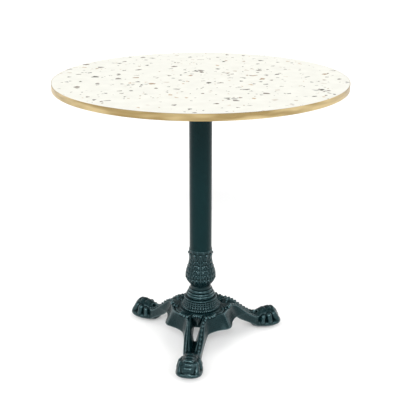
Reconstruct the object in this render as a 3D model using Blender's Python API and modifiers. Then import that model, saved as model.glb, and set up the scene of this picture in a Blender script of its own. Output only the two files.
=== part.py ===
"""Round bistro table: laminate top with a brass edge band on a cast-iron tripod column.

Metres, +Z up. The origin is on the floor under the column's axis.
The three legs point at LEG_AZIMUTHS. Each leg is a pair of cast walls with an open
channel between them, and the walls sweep round into the skirt below the bell-shaped hub.
"""
import math

import bmesh
import bpy
from mathutils import Matrix, Vector

# ---- driving dimensions ----
TABLE_HEIGHT = 0.740
TOP_DIAMETER = 0.750
TOP_THICKNESS = 0.0165
LAMINATE_THICKNESS = 0.0008
BAND_THICKNESS = 0.0010
COLUMN_DIAMETER = 0.060
COLUMN_WALL = 0.0025
LEG_AZIMUTHS = {"front": -98.0, "right": 22.0, "left": 142.0}
GLIDE_RADIUS = 0.202
GAP = 0.0003

# ---- heights of the joints between pieces ----
TOP_UNDERSIDE = TABLE_HEIGHT - TOP_THICKNESS
COLUMN_TOP = 0.690
COLUMN_BOTTOM = 0.2620
VASE_BOTTOM = 0.1353
HUB_SEAT = VASE_BOTTOM - GAP
HUB_WEB_UNDERSIDE = 0.1250

# ---- turned outlines, (radius, height), from the top down the outer side ----
VASE_OUTSIDE = [
    (0.0318, 0.2730), (0.0322, 0.2660), (0.0350, 0.2612), (0.0334, 0.2560), (0.0312, 0.2500),
    (0.0309, 0.2410), (0.0330, 0.2310), (0.0368, 0.2190), (0.0403, 0.2070), (0.0415, 0.1950),
    (0.0408, 0.1885), (0.0384, 0.1825), (0.0350, 0.1770), (0.0309, 0.1710), (0.0288, 0.1660),
    (0.0290, 0.1600), (0.0302, 0.1550), (0.0330, 0.1525), (0.0320, 0.1490), (0.0360, 0.1460),
    (0.0348, 0.1425), (0.0395, 0.1400), (0.0398, 0.1375), (0.0385, VASE_BOTTOM),
]
VASE_BORE_RADIUS = 0.0220
HUB_OUTSIDE = [
    (0.0217, 0.1400), (0.0217, HUB_SEAT), (0.0375, HUB_SEAT), (0.0378, 0.1325),
    (0.0432, 0.1320), (0.0450, 0.1300), (0.0438, 0.1275), (0.0446, 0.1240), (0.0465, 0.1150),
    (0.0495, 0.1085), (0.0525, 0.1070), (0.0542, 0.1045), (0.0532, 0.1020), (0.0600, 0.1005),
    (0.0700, 0.0990), (0.0785, 0.0985),
]
HUB_INSIDE = [
    (0.0785, 0.0940), (0.0560, 0.0955), (0.0470, 0.1000), (0.0410, 0.1090), (0.0385, 0.1180),
    (0.0300, HUB_WEB_UNDERSIDE),
]

# ---- plan of half a leg, from its tip round to the middle of the skirt:
#      (distance along the leg, half width) on the walls' rim, then at the skirt's foot ----
LEG_HALF_PLAN = [
    ((0.1840, 0.0000), (0.1840, 0.0000)),
    ((0.1795, 0.0120), (0.1795, 0.0140)),
    ((0.1680, 0.0200), (0.1680, 0.0230)),
    ((0.1400, 0.0215), (0.1400, 0.0260)),
    ((0.1150, 0.0220), (0.1180, 0.0290)),
    ((0.0960, 0.0230), (0.1030, 0.0325)),
    ((0.0820, 0.0295), (0.0910, 0.0390)),
    ((0.0720, 0.0400), (0.0810, 0.0490)),
    ((0.0630, 0.0510), (0.0720, 0.0610)),
    ((0.0530, 0.0615), (0.0635, 0.0765)),
    ((0.0460, 0.0675), (0.0570, 0.0855)),
    ((0.0410, 0.0710), (0.0515, 0.0892)),
]
WALL_THICKNESS = 0.0060
RIM_HEIGHT = 0.1005
SKIRT_FOOT_HEIGHT = 0.0615

# ---- side view of the walls, (radius, height): the ridge, then the underside ----
LEG_RIDGE = [
    (0.0540, RIM_HEIGHT), (0.0800, RIM_HEIGHT), (0.0880, 0.0995), (0.0960, 0.0965),
    (0.1030, 0.0925), (0.1100, 0.0875), (0.1180, 0.0805), (0.1340, 0.0660), (0.1490, 0.0540),
    (0.1650, 0.0445), (0.1900, 0.0400),
]
LEG_UNDERSIDE = [
    (0.1900, 0.0080), (0.1730, 0.0100), (0.1620, 0.0165), (0.1480, 0.0255), (0.1330, 0.0350),
    (0.1160, 0.0460), (0.1060, 0.0555), (0.0980, 0.0605), (0.0540, SKIRT_FOOT_HEIGHT),
]

# ---- the lion's paw: sections across the leg, (distance, half width, low, high) ----
PAW_SECTIONS = [
    (0.158, 0.0200, 0.015, 0.047), (0.173, 0.0265, 0.006, 0.052), (0.188, 0.0375, 0.003, 0.061),
    (0.218, 0.0390, 0.003, 0.060), (0.237, 0.0340, 0.009, 0.048), (0.245, 0.0220, 0.014, 0.034),
]

# ---- the channel in each leg, sections across it:
#      (distance, height over the ridge, half width there, floor height, half width there) ----
CHANNEL_SECTIONS = [
    (0.0615, 0.1150, 0.0185, 0.0500, 0.0065), (0.0980, 0.1060, 0.0185, 0.0500, 0.0028),
    (0.1130, 0.0960, 0.0185, 0.0500, 0.0022), (0.1400, 0.0720, 0.0175, 0.0400, 0.0020),
    (0.1650, 0.0540, 0.0140, 0.0345, 0.0020), (0.1760, 0.0500, 0.0050, 0.0330, 0.0010),
]
# ---- the metal between a leg's two walls, before its channel is cut, sections across it:
#      (distance, half width below, low, half width above, high) ----
LEG_BLOCK_SECTIONS = [
    (0.0555, 0.0240, 0.040, 0.0185, 0.104), (0.0820, 0.0260, 0.040, 0.0250, 0.104),
    (0.1000, 0.0320, 0.040, 0.0200, 0.104), (0.1180, 0.0285, 0.030, 0.0195, 0.104),
    (0.1400, 0.0245, 0.020, 0.0190, 0.104), (0.1650, 0.0200, 0.010, 0.0170, 0.104),
    (0.1760, 0.0130, 0.005, 0.0120, 0.104),
]

# ---- tie rod, nuts and washers ----
ROD_RADIUS = 0.0060
ROD_BOTTOM = 0.1050
ROD_TOP = 0.7180
NUT_ACROSS_FLATS = 0.0190
NUT_HEIGHT = 0.0100
WASHER_RADIUS = 0.0120
WASHER_THICKNESS = 0.0025

# ---- spider under the top, and its wood screws ----
SPIDER_FLANGE_THICKNESS = 0.0045
SPIDER_ARM_WIDTH = 0.0280
SPIDER_ARM_REACH = 0.1550
SPIDER_RIB_THICKNESS = 0.0060
SPIDER_BOSS_RADIUS = 0.0345
SPIDER_WEB_TOP = 0.7000
SPIGOT_END = 0.6720
NUT_WELL_RADIUS = 0.0165
SPIDER_ARM_ANGLES = (45.0, 135.0, 225.0, 315.0)
SCREW_PLACES = ((0.1550, 0.0), (0.0750, 0.0085))
SCREW_SHANK_RADIUS = 0.0021
SCREW_HEAD_RADIUS = 0.0046
SCREW_DEPTH = 0.0105

# ---- levelling glides ----
GLIDE_PAD_RADIUS = 0.0130
GLIDE_PAD_HEIGHT = 0.0050
GLIDE_STUD_RADIUS = 0.0040
GLIDE_STUD_TOP = 0.0330
GLIDE_FLANGE_RADIUS = 0.0049
GLIDE_SOCKET_FLOOR = 0.0020

TOP_SEGMENTS = 96
TURNED_SEGMENTS = 40
SMALL_SEGMENTS = 12
MERGE = 0.0001

parts = bpy.data.collections.new("bistro_table")
cutters = bpy.data.collections.new("cutters")


def clear_scene():
    for old in list(bpy.data.objects):
        bpy.data.objects.remove(old, do_unlink=True)
    for collection in (parts, cutters):
        bpy.context.scene.collection.children.link(collection)


def make_material(name, color, roughness, metallic):
    material = bpy.data.materials.new(name)
    material.use_nodes = True
    shader = material.node_tree.nodes["Principled BSDF"]
    shader.inputs["Base Color"].default_value = (*color, 1.0)
    shader.inputs["Roughness"].default_value = roughness
    shader.inputs["Metallic"].default_value = metallic
    material.diffuse_color = (*color, 1.0)
    return material


def new_object(name, mesh, collection=parts):
    obj = bpy.data.objects.new(name, mesh)
    collection.objects.link(obj)
    if collection is cutters:
        obj.hide_render = True
        obj.display_type = "WIRE"
    return obj


def mesh_from(bm, name, smooth_angle=35.0):
    bmesh.ops.recalc_face_normals(bm, faces=bm.faces)
    mesh = bpy.data.meshes.new(name)
    bm.to_mesh(mesh)
    bm.free()
    mesh.shade_smooth()
    mesh.set_sharp_from_angle(angle=math.radians(smooth_angle))
    return mesh


def turned(name, outline, segments, collection=parts, closed=False):
    """An outline of (radius, height) points turned about Z; closed joins its ends."""
    bm = bmesh.new()
    verts = [bm.verts.new((radius, 0.0, height)) for radius, height in outline]
    pairs = list(zip(verts, verts[1:]))
    if closed:
        pairs.append((verts[-1], verts[0]))
    for pair in pairs:
        bm.edges.new(pair)
    mesh = bpy.data.meshes.new(name)
    bm.to_mesh(mesh)
    bm.free()
    obj = new_object(name, mesh, collection)
    screw = obj.modifiers.new("turn", "SCREW")
    screw.axis = "Z"
    screw.steps = segments
    screw.render_steps = segments
    screw.use_merge_vertices = True
    screw.merge_threshold = MERGE
    screw.use_smooth_shade = True
    return obj


def ring(name, inner, outer, bottom, top, segments, collection=parts):
    outline = [(inner, top), (outer, top), (outer, bottom), (inner, bottom)]
    return turned(name, outline, segments, collection, closed=True)


def rod(name, radius, bottom, top, segments, place=(0.0, 0.0), collection=parts):
    """A solid round bar along Z."""
    obj = turned(name, [(0.0, top), (radius, top), (radius, bottom), (0.0, bottom)], segments, collection)
    obj.location = (*place, 0.0)
    return obj


def box(name, low, high, collection=cutters):
    bm = bmesh.new()
    bmesh.ops.create_cube(bm, size=1.0)
    size = Vector(high) - Vector(low)
    middle = (Vector(high) + Vector(low)) / 2
    place = Matrix.Translation(middle) @ Matrix.Diagonal((*size, 1.0))
    bmesh.ops.transform(bm, matrix=place, verts=bm.verts)
    return new_object(name, mesh_from(bm, name), collection)


def boolean(target, other, operation, solver="EXACT"):
    modifier = target.modifiers.new(operation.lower() + "_" + other.name, "BOOLEAN")
    modifier.operation = operation
    modifier.object = other
    modifier.solver = solver


def turn_about_column(obj, azimuth):
    obj.rotation_euler.z = math.radians(azimuth)


def polar(radius, azimuth, offset=0.0):
    """The plan position at a distance along an azimuth, and an offset to its left."""
    angle = math.radians(azimuth)
    x = radius * math.cos(angle) - offset * math.sin(angle)
    y = radius * math.sin(angle) + offset * math.cos(angle)
    return x, y


def smooth_loop(points, steps):
    """A closed Catmull-Rom curve through plan points."""
    loop = []
    count = len(points)
    for i in range(count):
        before, start, end, after = (Vector(points[(i + k) % count]) for k in (-1, 0, 1, 2))
        for step in range(steps):
            t = step / steps
            bend = (2 * before - 5 * start + 4 * end - after) * t * t
            twist = (3 * start - before - 3 * end + after) * t * t * t
            loop.append((2 * start + (end - before) * t + bend + twist) / 2)
    return loop


def star_loop(level):
    """The whole plan outline of the walls: level 0 is the rim and level 1 the skirt's foot."""
    half = [pair[level] for pair in LEG_HALF_PLAN]
    points = []
    for azimuth in sorted(LEG_AZIMUTHS.values()):
        for along, across in reversed(half[1:-1]):
            points.append(polar(along, azimuth, -across))
        for along, across in half:
            points.append(polar(along, azimuth, across))
    return smooth_loop(points, 2)


def cast_walls():
    """The upright walls of the three legs and the skirt, as one closed band."""
    rim = star_loop(0)
    foot = star_loop(1)
    levels = [(RIM_HEIGHT + 0.006, rim), (RIM_HEIGHT, rim), (SKIRT_FOOT_HEIGHT, foot), (-0.004, foot)]
    bm = bmesh.new()
    rows = [[bm.verts.new((*point, height)) for point in loop] for height, loop in levels]
    count = len(rim)
    for upper, lower in zip(rows, rows[1:]):
        for i in range(count):
            j = (i + 1) % count
            bm.faces.new((upper[i], lower[i], lower[j], upper[j]))
    walls = new_object("base_casting", mesh_from(bm, "base_casting"))
    shell = walls.modifiers.new("wall_thickness", "SOLIDIFY")
    shell.thickness = WALL_THICKNESS
    shell.offset = -1.0
    return walls


def loft(name, sections):
    """A body through four-cornered sections across the leg, closed at both ends.

    A section is (distance along the leg, half width below, low, half width above, high).
    """
    bm = bmesh.new()
    rows = []
    for along, below, low, above, high in sections:
        corners = [(-below, low), (below, low), (above, high), (-above, high)]
        rows.append([bm.verts.new((along, side, height)) for side, height in corners])
    for near, far in zip(rows, rows[1:]):
        for i in range(4):
            j = (i + 1) % 4
            bm.faces.new((near[i], near[j], far[j], far[i]))
    bm.faces.new(rows[0])
    bm.faces.new(rows[-1])
    return new_object(name, mesh_from(bm, name), cutters)


def paw(name):
    """A rounded lion's paw from a coarse cage."""
    obj = loft(name, [(along, across, low, across, high) for along, across, low, high in PAW_SECTIONS])
    rounded = obj.modifiers.new("rounded", "SUBSURF")
    rounded.levels = 2
    rounded.render_levels = 2
    return obj


def leg_channel(name):
    """The trough along a leg: wide at the ridge, and open below only near the hub."""
    return loft(name, [(along, floor_width, floor, width, top)
                       for along, top, width, floor, floor_width in CHANNEL_SECTIONS])


def base_casting(iron):
    """One casting: bell hub, skirt, three channelled legs and their paws."""
    base = cast_walls()
    for side, azimuth in LEG_AZIMUTHS.items():
        block = loft("leg_block_" + side, LEG_BLOCK_SECTIONS)
        turn_about_column(block, azimuth)
        boolean(base, block, "UNION", "MANIFOLD")
    side_view = turned("leg_side_view", LEG_RIDGE + LEG_UNDERSIDE, TURNED_SEGMENTS, cutters, closed=True)
    boolean(base, side_view, "INTERSECT", "MANIFOLD")
    rod_hole = ROD_RADIUS + 0.0010
    web = [(rod_hole, HUB_WEB_UNDERSIDE), (rod_hole, HUB_OUTSIDE[0][1])]
    bell = turned("bell_hub", HUB_OUTSIDE + HUB_INSIDE + web, TURNED_SEGMENTS, cutters, closed=True)
    boolean(base, bell, "UNION", "MANIFOLD")
    for side, azimuth in LEG_AZIMUTHS.items():
        channel = leg_channel("channel_" + side)
        toes = paw("paw_" + side)
        for piece in (channel, toes):
            turn_about_column(piece, azimuth)
        boolean(base, channel, "DIFFERENCE", "MANIFOLD")
        boolean(base, toes, "UNION", "MANIFOLD")
        place = polar(GLIDE_RADIUS, azimuth)
        hole = rod("stud_hole_" + side, GLIDE_STUD_RADIUS + GAP, -0.010, GLIDE_STUD_TOP + 0.004,
                   SMALL_SEGMENTS, place, cutters)
        boolean(base, hole, "DIFFERENCE", "MANIFOLD")
    base.data.materials.append(iron)
    return base


def column(iron):
    """Steel tube standing in the collar of a cast vase with three rings at its foot."""
    radius = COLUMN_DIAMETER / 2
    tube = ring("column_tube", radius - COLUMN_WALL, radius, COLUMN_BOTTOM + GAP, COLUMN_TOP - GAP,
                TURNED_SEGMENTS)
    tube.data.materials.append(iron)
    socket = radius + GAP
    inside = [
        (VASE_BORE_RADIUS, VASE_BOTTOM), (VASE_BORE_RADIUS, COLUMN_BOTTOM),
        (socket, COLUMN_BOTTOM), (socket, VASE_OUTSIDE[0][1]),
    ]
    vase = turned("column_vase", VASE_OUTSIDE + inside, TURNED_SEGMENTS, closed=True)
    vase.data.materials.append(iron)


def hex_nut(name, bottom, steel):
    bm = bmesh.new()
    corner = NUT_ACROSS_FLATS / math.sqrt(3)
    bmesh.ops.create_cone(bm, cap_ends=True, segments=6, radius1=corner, radius2=corner, depth=NUT_HEIGHT)
    bmesh.ops.translate(bm, vec=(0.0, 0.0, bottom + NUT_HEIGHT / 2), verts=bm.verts)
    nut = new_object(name, mesh_from(bm, name))
    bore = rod(name + "_bore", ROD_RADIUS + GAP, bottom - 0.002, bottom + NUT_HEIGHT + 0.002,
               24, collection=cutters)
    boolean(nut, bore, "DIFFERENCE")
    nut.data.materials.append(steel)


def washer(name, bottom, steel):
    obj = ring(name, ROD_RADIUS + 0.0005, WASHER_RADIUS, bottom, bottom + WASHER_THICKNESS, 24)
    obj.data.materials.append(steel)


def tie_rod(steel):
    """The threaded rod that clamps hub, vase, tube and spider together."""
    chamfer = 0.0010
    outline = [
        (0.0, ROD_TOP), (ROD_RADIUS - chamfer, ROD_TOP), (ROD_RADIUS, ROD_TOP - chamfer),
        (ROD_RADIUS, ROD_BOTTOM + chamfer), (ROD_RADIUS - chamfer, ROD_BOTTOM), (0.0, ROD_BOTTOM),
    ]
    bar = turned("tie_rod", outline, 24)
    bar.data.materials.append(steel)
    lower_washer = HUB_WEB_UNDERSIDE - GAP - WASHER_THICKNESS
    washer("lower_washer", lower_washer, steel)
    hex_nut("lower_nut", lower_washer - GAP - NUT_HEIGHT, steel)
    upper_washer = SPIDER_WEB_TOP + GAP
    washer("upper_washer", upper_washer, steel)
    hex_nut("upper_nut", upper_washer + WASHER_THICKNESS + GAP, steel)


def spider_rib(name, flange_underside):
    """A tapered rib across the spider's full width, standing below two arms."""
    depth = 0.0220
    reach = SPIDER_ARM_REACH - 0.0130
    curve = bpy.data.curves.new(name, "CURVE")
    curve.dimensions = "2D"
    curve.fill_mode = "BOTH"
    curve.extrude = SPIDER_RIB_THICKNESS / 2
    edge = 0.002
    outline = [
        (-reach, edge), (-reach, -edge), (-0.030, -depth), (0.030, -depth), (reach, -edge), (reach, edge),
    ]
    spline = curve.splines.new("POLY")
    spline.points.add(len(outline) - 1)
    for point, (along, height) in zip(spline.points, outline):
        point.co = (along, height, 0.0, 1.0)
    spline.use_cyclic_u = True
    upright = Matrix.Rotation(math.radians(90.0), 4, "X")
    loose = bpy.data.objects.new(name + "_outline", curve)
    cutters.objects.link(loose)
    bpy.context.view_layer.update()
    filled = loose.evaluated_get(bpy.context.evaluated_depsgraph_get())
    bm = bmesh.new()
    bm.from_mesh(filled.to_mesh())
    bmesh.ops.remove_doubles(bm, verts=bm.verts, dist=MERGE)
    place = Matrix.Translation((0.0, 0.0, flange_underside)) @ upright
    bmesh.ops.transform(bm, matrix=place, verts=bm.verts)
    bpy.data.objects.remove(loose, do_unlink=True)
    return new_object(name, mesh_from(bm, name), cutters)


def spider(iron):
    """Four-armed casting between the tie rod and the underside of the top."""
    top = TOP_UNDERSIDE - GAP
    flange_underside = top - SPIDER_FLANGE_THICKNESS
    bore = ROD_RADIUS + 0.0010
    spigot = COLUMN_DIAMETER / 2 - COLUMN_WALL - 0.0005
    outline = [
        (0.0, top), (SPIDER_BOSS_RADIUS, top), (SPIDER_BOSS_RADIUS, COLUMN_TOP + 0.004),
        (SPIDER_BOSS_RADIUS - 0.003, COLUMN_TOP), (spigot, COLUMN_TOP), (spigot, SPIGOT_END),
        (0.0, SPIGOT_END),
    ]
    boss = turned("top_spider", outline, 32)
    half_width = SPIDER_ARM_WIDTH / 2
    for number, azimuth in enumerate(SPIDER_ARM_ANGLES[:2], 1):
        flange = box("spider_flange_%d" % number, (-SPIDER_ARM_REACH, -half_width, flange_underside),
                     (SPIDER_ARM_REACH, half_width, top - 0.0001 * number))
        rib = spider_rib("spider_rib_%d" % number, flange_underside)
        for piece in (flange, rib):
            turn_about_column(piece, azimuth)
            boolean(boss, piece, "UNION")
    for number, azimuth in enumerate(SPIDER_ARM_ANGLES, 1):
        pad = rod("spider_tip_%d" % number, half_width + 0.001, flange_underside - 0.0002, top - 0.0004, 24,
                  polar(SPIDER_ARM_REACH, azimuth), cutters)
        boolean(boss, pad, "UNION")
        for place_number, (along, across) in enumerate(SCREW_PLACES, 1):
            hole = rod("arm_hole_%d_%d" % (number, place_number), SCREW_SHANK_RADIUS + 0.0006, 0.700, 0.730,
                       SMALL_SEGMENTS, polar(along, azimuth, across), cutters)
            boolean(boss, hole, "DIFFERENCE")
    well = rod("nut_well", NUT_WELL_RADIUS, SPIDER_WEB_TOP, TABLE_HEIGHT, 32, collection=cutters)
    boolean(boss, well, "DIFFERENCE")
    passage = rod("rod_passage", bore, 0.660, 0.730, 32, collection=cutters)
    boolean(boss, passage, "DIFFERENCE")
    boss.data.materials.append(iron)


def top_layers(laminate, board, backing, brass):
    """Core board between two laminate sheets, inside a thin brass edge band."""
    radius = TOP_DIAMETER / 2
    inner = radius - BAND_THICKNESS
    band = ring("brass_edge_band", inner, radius, TOP_UNDERSIDE, TABLE_HEIGHT, TOP_SEGMENTS)
    band.data.materials.append(brass)
    sheet_radius = inner - GAP
    surface_bottom = TABLE_HEIGHT - LAMINATE_THICKNESS
    surface = rod("terrazzo_laminate", sheet_radius, surface_bottom, TABLE_HEIGHT, TOP_SEGMENTS)
    surface.data.materials.append(laminate)
    core_bottom = TOP_UNDERSIDE + LAMINATE_THICKNESS + GAP
    core = rod("top_core", sheet_radius, core_bottom, surface_bottom - GAP, TOP_SEGMENTS)
    core.data.materials.append(board)
    under = rod("backing_laminate", sheet_radius, TOP_UNDERSIDE, core_bottom - GAP, TOP_SEGMENTS)
    under.data.materials.append(backing)
    for number, azimuth in enumerate(SPIDER_ARM_ANGLES, 1):
        for place_number, (along, across) in enumerate(SCREW_PLACES, 1):
            hole = rod("pilot_hole_%d_%d" % (number, place_number), SCREW_SHANK_RADIUS + GAP,
                       TOP_UNDERSIDE - 0.003, TOP_UNDERSIDE + SCREW_DEPTH + 0.0006, SMALL_SEGMENTS,
                       polar(along, azimuth, across), cutters)
            boolean(core, hole, "DIFFERENCE")
            boolean(under, hole, "DIFFERENCE")


def mounting_screws(steel):
    """Pan-head wood screws, two to an arm, from the spider up into the core."""
    seat = TOP_UNDERSIDE - GAP - SPIDER_FLANGE_THICKNESS - 0.0003 - GAP
    tip = TOP_UNDERSIDE + SCREW_DEPTH
    outline = [
        (0.0, tip), (SCREW_SHANK_RADIUS, tip - 0.004), (SCREW_SHANK_RADIUS, seat),
        (SCREW_HEAD_RADIUS, seat), (SCREW_HEAD_RADIUS, seat - 0.0012),
        (SCREW_HEAD_RADIUS * 0.7, seat - 0.0028), (0.0, seat - 0.0032),
    ]
    number = 0
    for azimuth in SPIDER_ARM_ANGLES:
        for along, across in SCREW_PLACES:
            number += 1
            screw = turned("mounting_screw_%d" % number, outline, SMALL_SEGMENTS)
            screw.location = (*polar(along, azimuth, across), 0.0)
            screw.data.materials.append(steel)


def glide(side, azimuth, steel, plastic):
    """A levelling glide: a pad that stays on the floor, and a stud that turns in it."""
    axis = bpy.data.objects.new("glide_axis_" + side, None)
    axis.location = (*polar(GLIDE_RADIUS, azimuth), 0.0)
    parts.objects.link(axis)
    socket = GLIDE_FLANGE_RADIUS + GAP
    edge = 0.0008
    pad_outline = [
        (socket, GLIDE_PAD_HEIGHT), (GLIDE_PAD_RADIUS - 2 * edge, GLIDE_PAD_HEIGHT),
        (GLIDE_PAD_RADIUS, GLIDE_PAD_HEIGHT - 2 * edge), (GLIDE_PAD_RADIUS, edge),
        (GLIDE_PAD_RADIUS - edge, 0.0), (0.0, 0.0),
    ]
    pad_outline = [(0.0, GLIDE_SOCKET_FLOOR), (socket, GLIDE_SOCKET_FLOOR)] + pad_outline
    pad = turned("glide_pad_" + side, pad_outline, 32)
    pad.data.materials.append(plastic)
    flange_top = GLIDE_SOCKET_FLOOR + 0.0025
    stud_outline = [
        (0.0, GLIDE_STUD_TOP), (GLIDE_STUD_RADIUS - edge, GLIDE_STUD_TOP),
        (GLIDE_STUD_RADIUS, GLIDE_STUD_TOP - edge), (GLIDE_STUD_RADIUS, flange_top),
        (GLIDE_FLANGE_RADIUS, flange_top), (GLIDE_FLANGE_RADIUS, GLIDE_SOCKET_FLOOR + GAP),
        (0.0, GLIDE_SOCKET_FLOOR + GAP),
    ]
    stud = turned("glide_stud_" + side, stud_outline, 24)
    stud.data.materials.append(steel)
    for piece in (pad, stud):
        piece.parent = axis


clear_scene()
IRON = make_material("painted_iron", (0.020, 0.060, 0.066), 0.42, 0.0)
BRASS = make_material("brushed_brass", (0.72, 0.52, 0.25), 0.32, 1.0)
LAMINATE = make_material("terrazzo_laminate", (0.93, 0.92, 0.86), 0.45, 0.0)
BOARD = make_material("fibreboard", (0.46, 0.33, 0.20), 0.80, 0.0)
BACKING = make_material("backing_sheet", (0.82, 0.80, 0.74), 0.60, 0.0)
STEEL = make_material("zinc_plated_steel", (0.62, 0.63, 0.62), 0.35, 1.0)
PLASTIC = make_material("black_plastic", (0.03, 0.03, 0.03), 0.55, 0.0)

top_layers(LAMINATE, BOARD, BACKING, BRASS)
spider(IRON)
mounting_screws(STEEL)
column(IRON)
tie_rod(STEEL)
base_casting(IRON)
for leg_side, leg_azimuth in LEG_AZIMUTHS.items():
    glide(leg_side, leg_azimuth, STEEL, PLASTIC)
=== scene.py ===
"""Looks of the round bistro table: relief castings, terrazzo, brushed brass and satin paint."""
import math

import bmesh
import bpy
import numpy as np
from mathutils import Euler, Matrix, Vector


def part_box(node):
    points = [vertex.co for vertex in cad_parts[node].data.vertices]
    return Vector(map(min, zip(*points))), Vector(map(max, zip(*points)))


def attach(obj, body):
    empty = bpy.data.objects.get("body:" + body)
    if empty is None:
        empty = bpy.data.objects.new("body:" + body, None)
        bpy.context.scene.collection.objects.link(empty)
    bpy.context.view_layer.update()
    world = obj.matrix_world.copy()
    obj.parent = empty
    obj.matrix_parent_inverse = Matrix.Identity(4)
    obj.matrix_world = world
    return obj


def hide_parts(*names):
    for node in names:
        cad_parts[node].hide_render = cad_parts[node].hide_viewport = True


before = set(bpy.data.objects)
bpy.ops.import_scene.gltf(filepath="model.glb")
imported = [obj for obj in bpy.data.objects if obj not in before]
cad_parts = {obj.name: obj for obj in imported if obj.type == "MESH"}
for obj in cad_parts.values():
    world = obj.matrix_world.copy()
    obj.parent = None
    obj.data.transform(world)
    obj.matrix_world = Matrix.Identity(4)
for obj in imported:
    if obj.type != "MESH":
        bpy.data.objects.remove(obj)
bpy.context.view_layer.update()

# ---- sizes taken from the frame (metres) ----
TOP_LOW, TOP_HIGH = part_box("brass_edge_band")
TUBE_LOW, TUBE_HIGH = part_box("column_tube")
VASE_LOW, VASE_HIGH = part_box("column_vase")
BASE_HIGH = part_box("base_casting")[1]
SHEET_LOW, SHEET_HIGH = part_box("terrazzo_laminate")

# ---- chosen here ----
LEG_AZIMUTHS = {"front": -98.0, "right": 22.0, "left": 142.0}  # degrees from +X
GAP = 0.0003  # between pieces that fit into each other
TURN = 2.0 * math.pi
FRONT = math.radians(-90.0)
CREASE = math.radians(30.0)  # edges sharper than this stay sharp


# =====================================================================
# helpers
# =====================================================================
def put(name, mesh, replaces=()):
    obj = bpy.data.objects.new(name, mesh)
    bpy.context.scene.collection.objects.link(obj)
    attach(obj, "table")
    if replaces:
        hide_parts(*replaces)
    return obj


def mesh_of(name, points, quads):
    mesh = bpy.data.meshes.new(name)
    mesh.from_pydata(points.tolist(), [], quads.tolist())
    mesh.validate()
    bm = bmesh.new()
    bm.from_mesh(mesh)
    bmesh.ops.recalc_face_normals(bm, faces=bm.faces)
    bm.to_mesh(mesh)
    bm.free()
    mesh.shade_smooth()
    return mesh


def catmull_rom(points, steps):
    """A smooth open curve through plan or profile points."""
    points = np.asarray(points, float)
    count = len(points)
    rows = []
    for i in range(count - 1):
        a, b, c, d = (points[min(max(i + k, 0), count - 1)] for k in (-1, 0, 1, 2))
        t = np.linspace(0.0, 1.0, steps, endpoint=False)[:, None]
        rows.append(0.5 * (2 * b + (c - a) * t + (2 * a - 5 * b + 4 * c - d) * t ** 2
                           + (3 * b - a - 3 * c + d) * t ** 3))
    rows.append(points[-1:])
    return np.concatenate(rows)


def by_length(curve, count):
    """The same curve at equal steps of its length."""
    step = np.hypot(*np.diff(curve, axis=0).T)
    run = np.concatenate([[0.0], np.cumsum(step)])
    at = np.linspace(0.0, run[-1], count)
    return np.column_stack([np.interp(at, run, curve[:, k]) for k in range(2)])


def turned_relief(name, outside, inside, relief, around):
    """A turned shell whose outer side carries a relief: relief(angle, radius, height) in metres."""
    angle = np.arange(around) * TURN / around
    rows = []
    for i, (radius, height) in enumerate(outside):
        before = outside[max(i - 1, 0)]
        after = outside[min(i + 1, len(outside) - 1)]
        along = np.array([after[0] - before[0], after[1] - before[1]])
        along /= np.hypot(*along)
        lift = relief(angle, radius, height)
        ring = radius - along[1] * lift
        rows.append(np.column_stack([ring * np.cos(angle), ring * np.sin(angle),
                                     height + along[0] * lift]))
    for radius, height in inside:
        rows.append(np.column_stack([radius * np.cos(angle), radius * np.sin(angle),
                                     np.full(around, height)]))
    points = np.concatenate(rows)
    count = len(rows)
    row = np.arange(count)[:, None]
    col = np.arange(around)[None, :]
    right = (col + 1) % around
    below = (row + 1) % count
    quads = np.stack(np.broadcast_arrays(row * around + col, below * around + col,
                                         below * around + right, row * around + right), -1)
    return mesh_of(name, points, quads.reshape(-1, 4))


def dome(along, across, length, width, height):
    """A smooth bump on an elliptic foot."""
    inside = 1.0 - (along / length) ** 2 - (across / width) ** 2
    return height * np.sqrt(np.clip(inside, 0.0, 1.0))


def ridge(offset, width, height):
    return height * np.exp(-(offset / width) ** 2)


def step_up(value, low, high):
    t = np.clip((value - low) / (high - low), 0.0, 1.0)
    return t * t * (3.0 - 2.0 * t)


def nearest(angle, count, start):
    """The signed angle to the nearest of `count` places spaced round the column."""
    pitch = TURN / count
    return (angle - start + pitch / 2) % pitch - pitch / 2


# =====================================================================
# column vase: acanthus leaves, curled collar, neck and rings
# =====================================================================
# radius, height
VASE_PROFILE = [
    (0.0314, VASE_HIGH.z), (0.0312, 0.2660), (0.0311, 0.2580), (0.0302, 0.2490), (0.0300, 0.2410),
    (0.0315, 0.2310), (0.0352, 0.2190), (0.0387, 0.2070), (0.0399, 0.1970), (0.0397, 0.1890),
    (0.0374, 0.1830), (0.0342, 0.1775), (0.0305, 0.1710), (0.0287, 0.1660), (0.0288, 0.1600),
    (0.0297, 0.1560), (0.0312, 0.1510), (0.0343, 0.1450), (0.0375, 0.1395), (0.0380, VASE_LOW.z),
]
# height, half height, rise
VASE_RINGS = ((0.1528, 0.0038, 0.0024), (0.1452, 0.0027, 0.0021), (0.1396, 0.0025, 0.0019))
LEAF_COUNT = 8
TIP_COUNT = 12
# the lobes on each side of a leaf's rib: height, distance from the rib
LOBES = (
    (0.1890, 0.0075), (0.2020, 0.0088), (0.2145, 0.0083), (0.2270, 0.0072), (0.2390, 0.0058),
)
LOBE_LEAN = math.radians(38.0)
# bumps on the lobes: half length, half width, rise
LOBE = (0.0074, 0.0031, 0.0014)
LOBE_KNOB = (0.0028, 0.0028, 0.0029)
LOBE_PIT = (0.0036, 0.0026, 0.0018)
KNOB_ALONG = 0.0044
PIT_BELOW, PIT_INWARD = 0.0062, 0.0042
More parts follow.
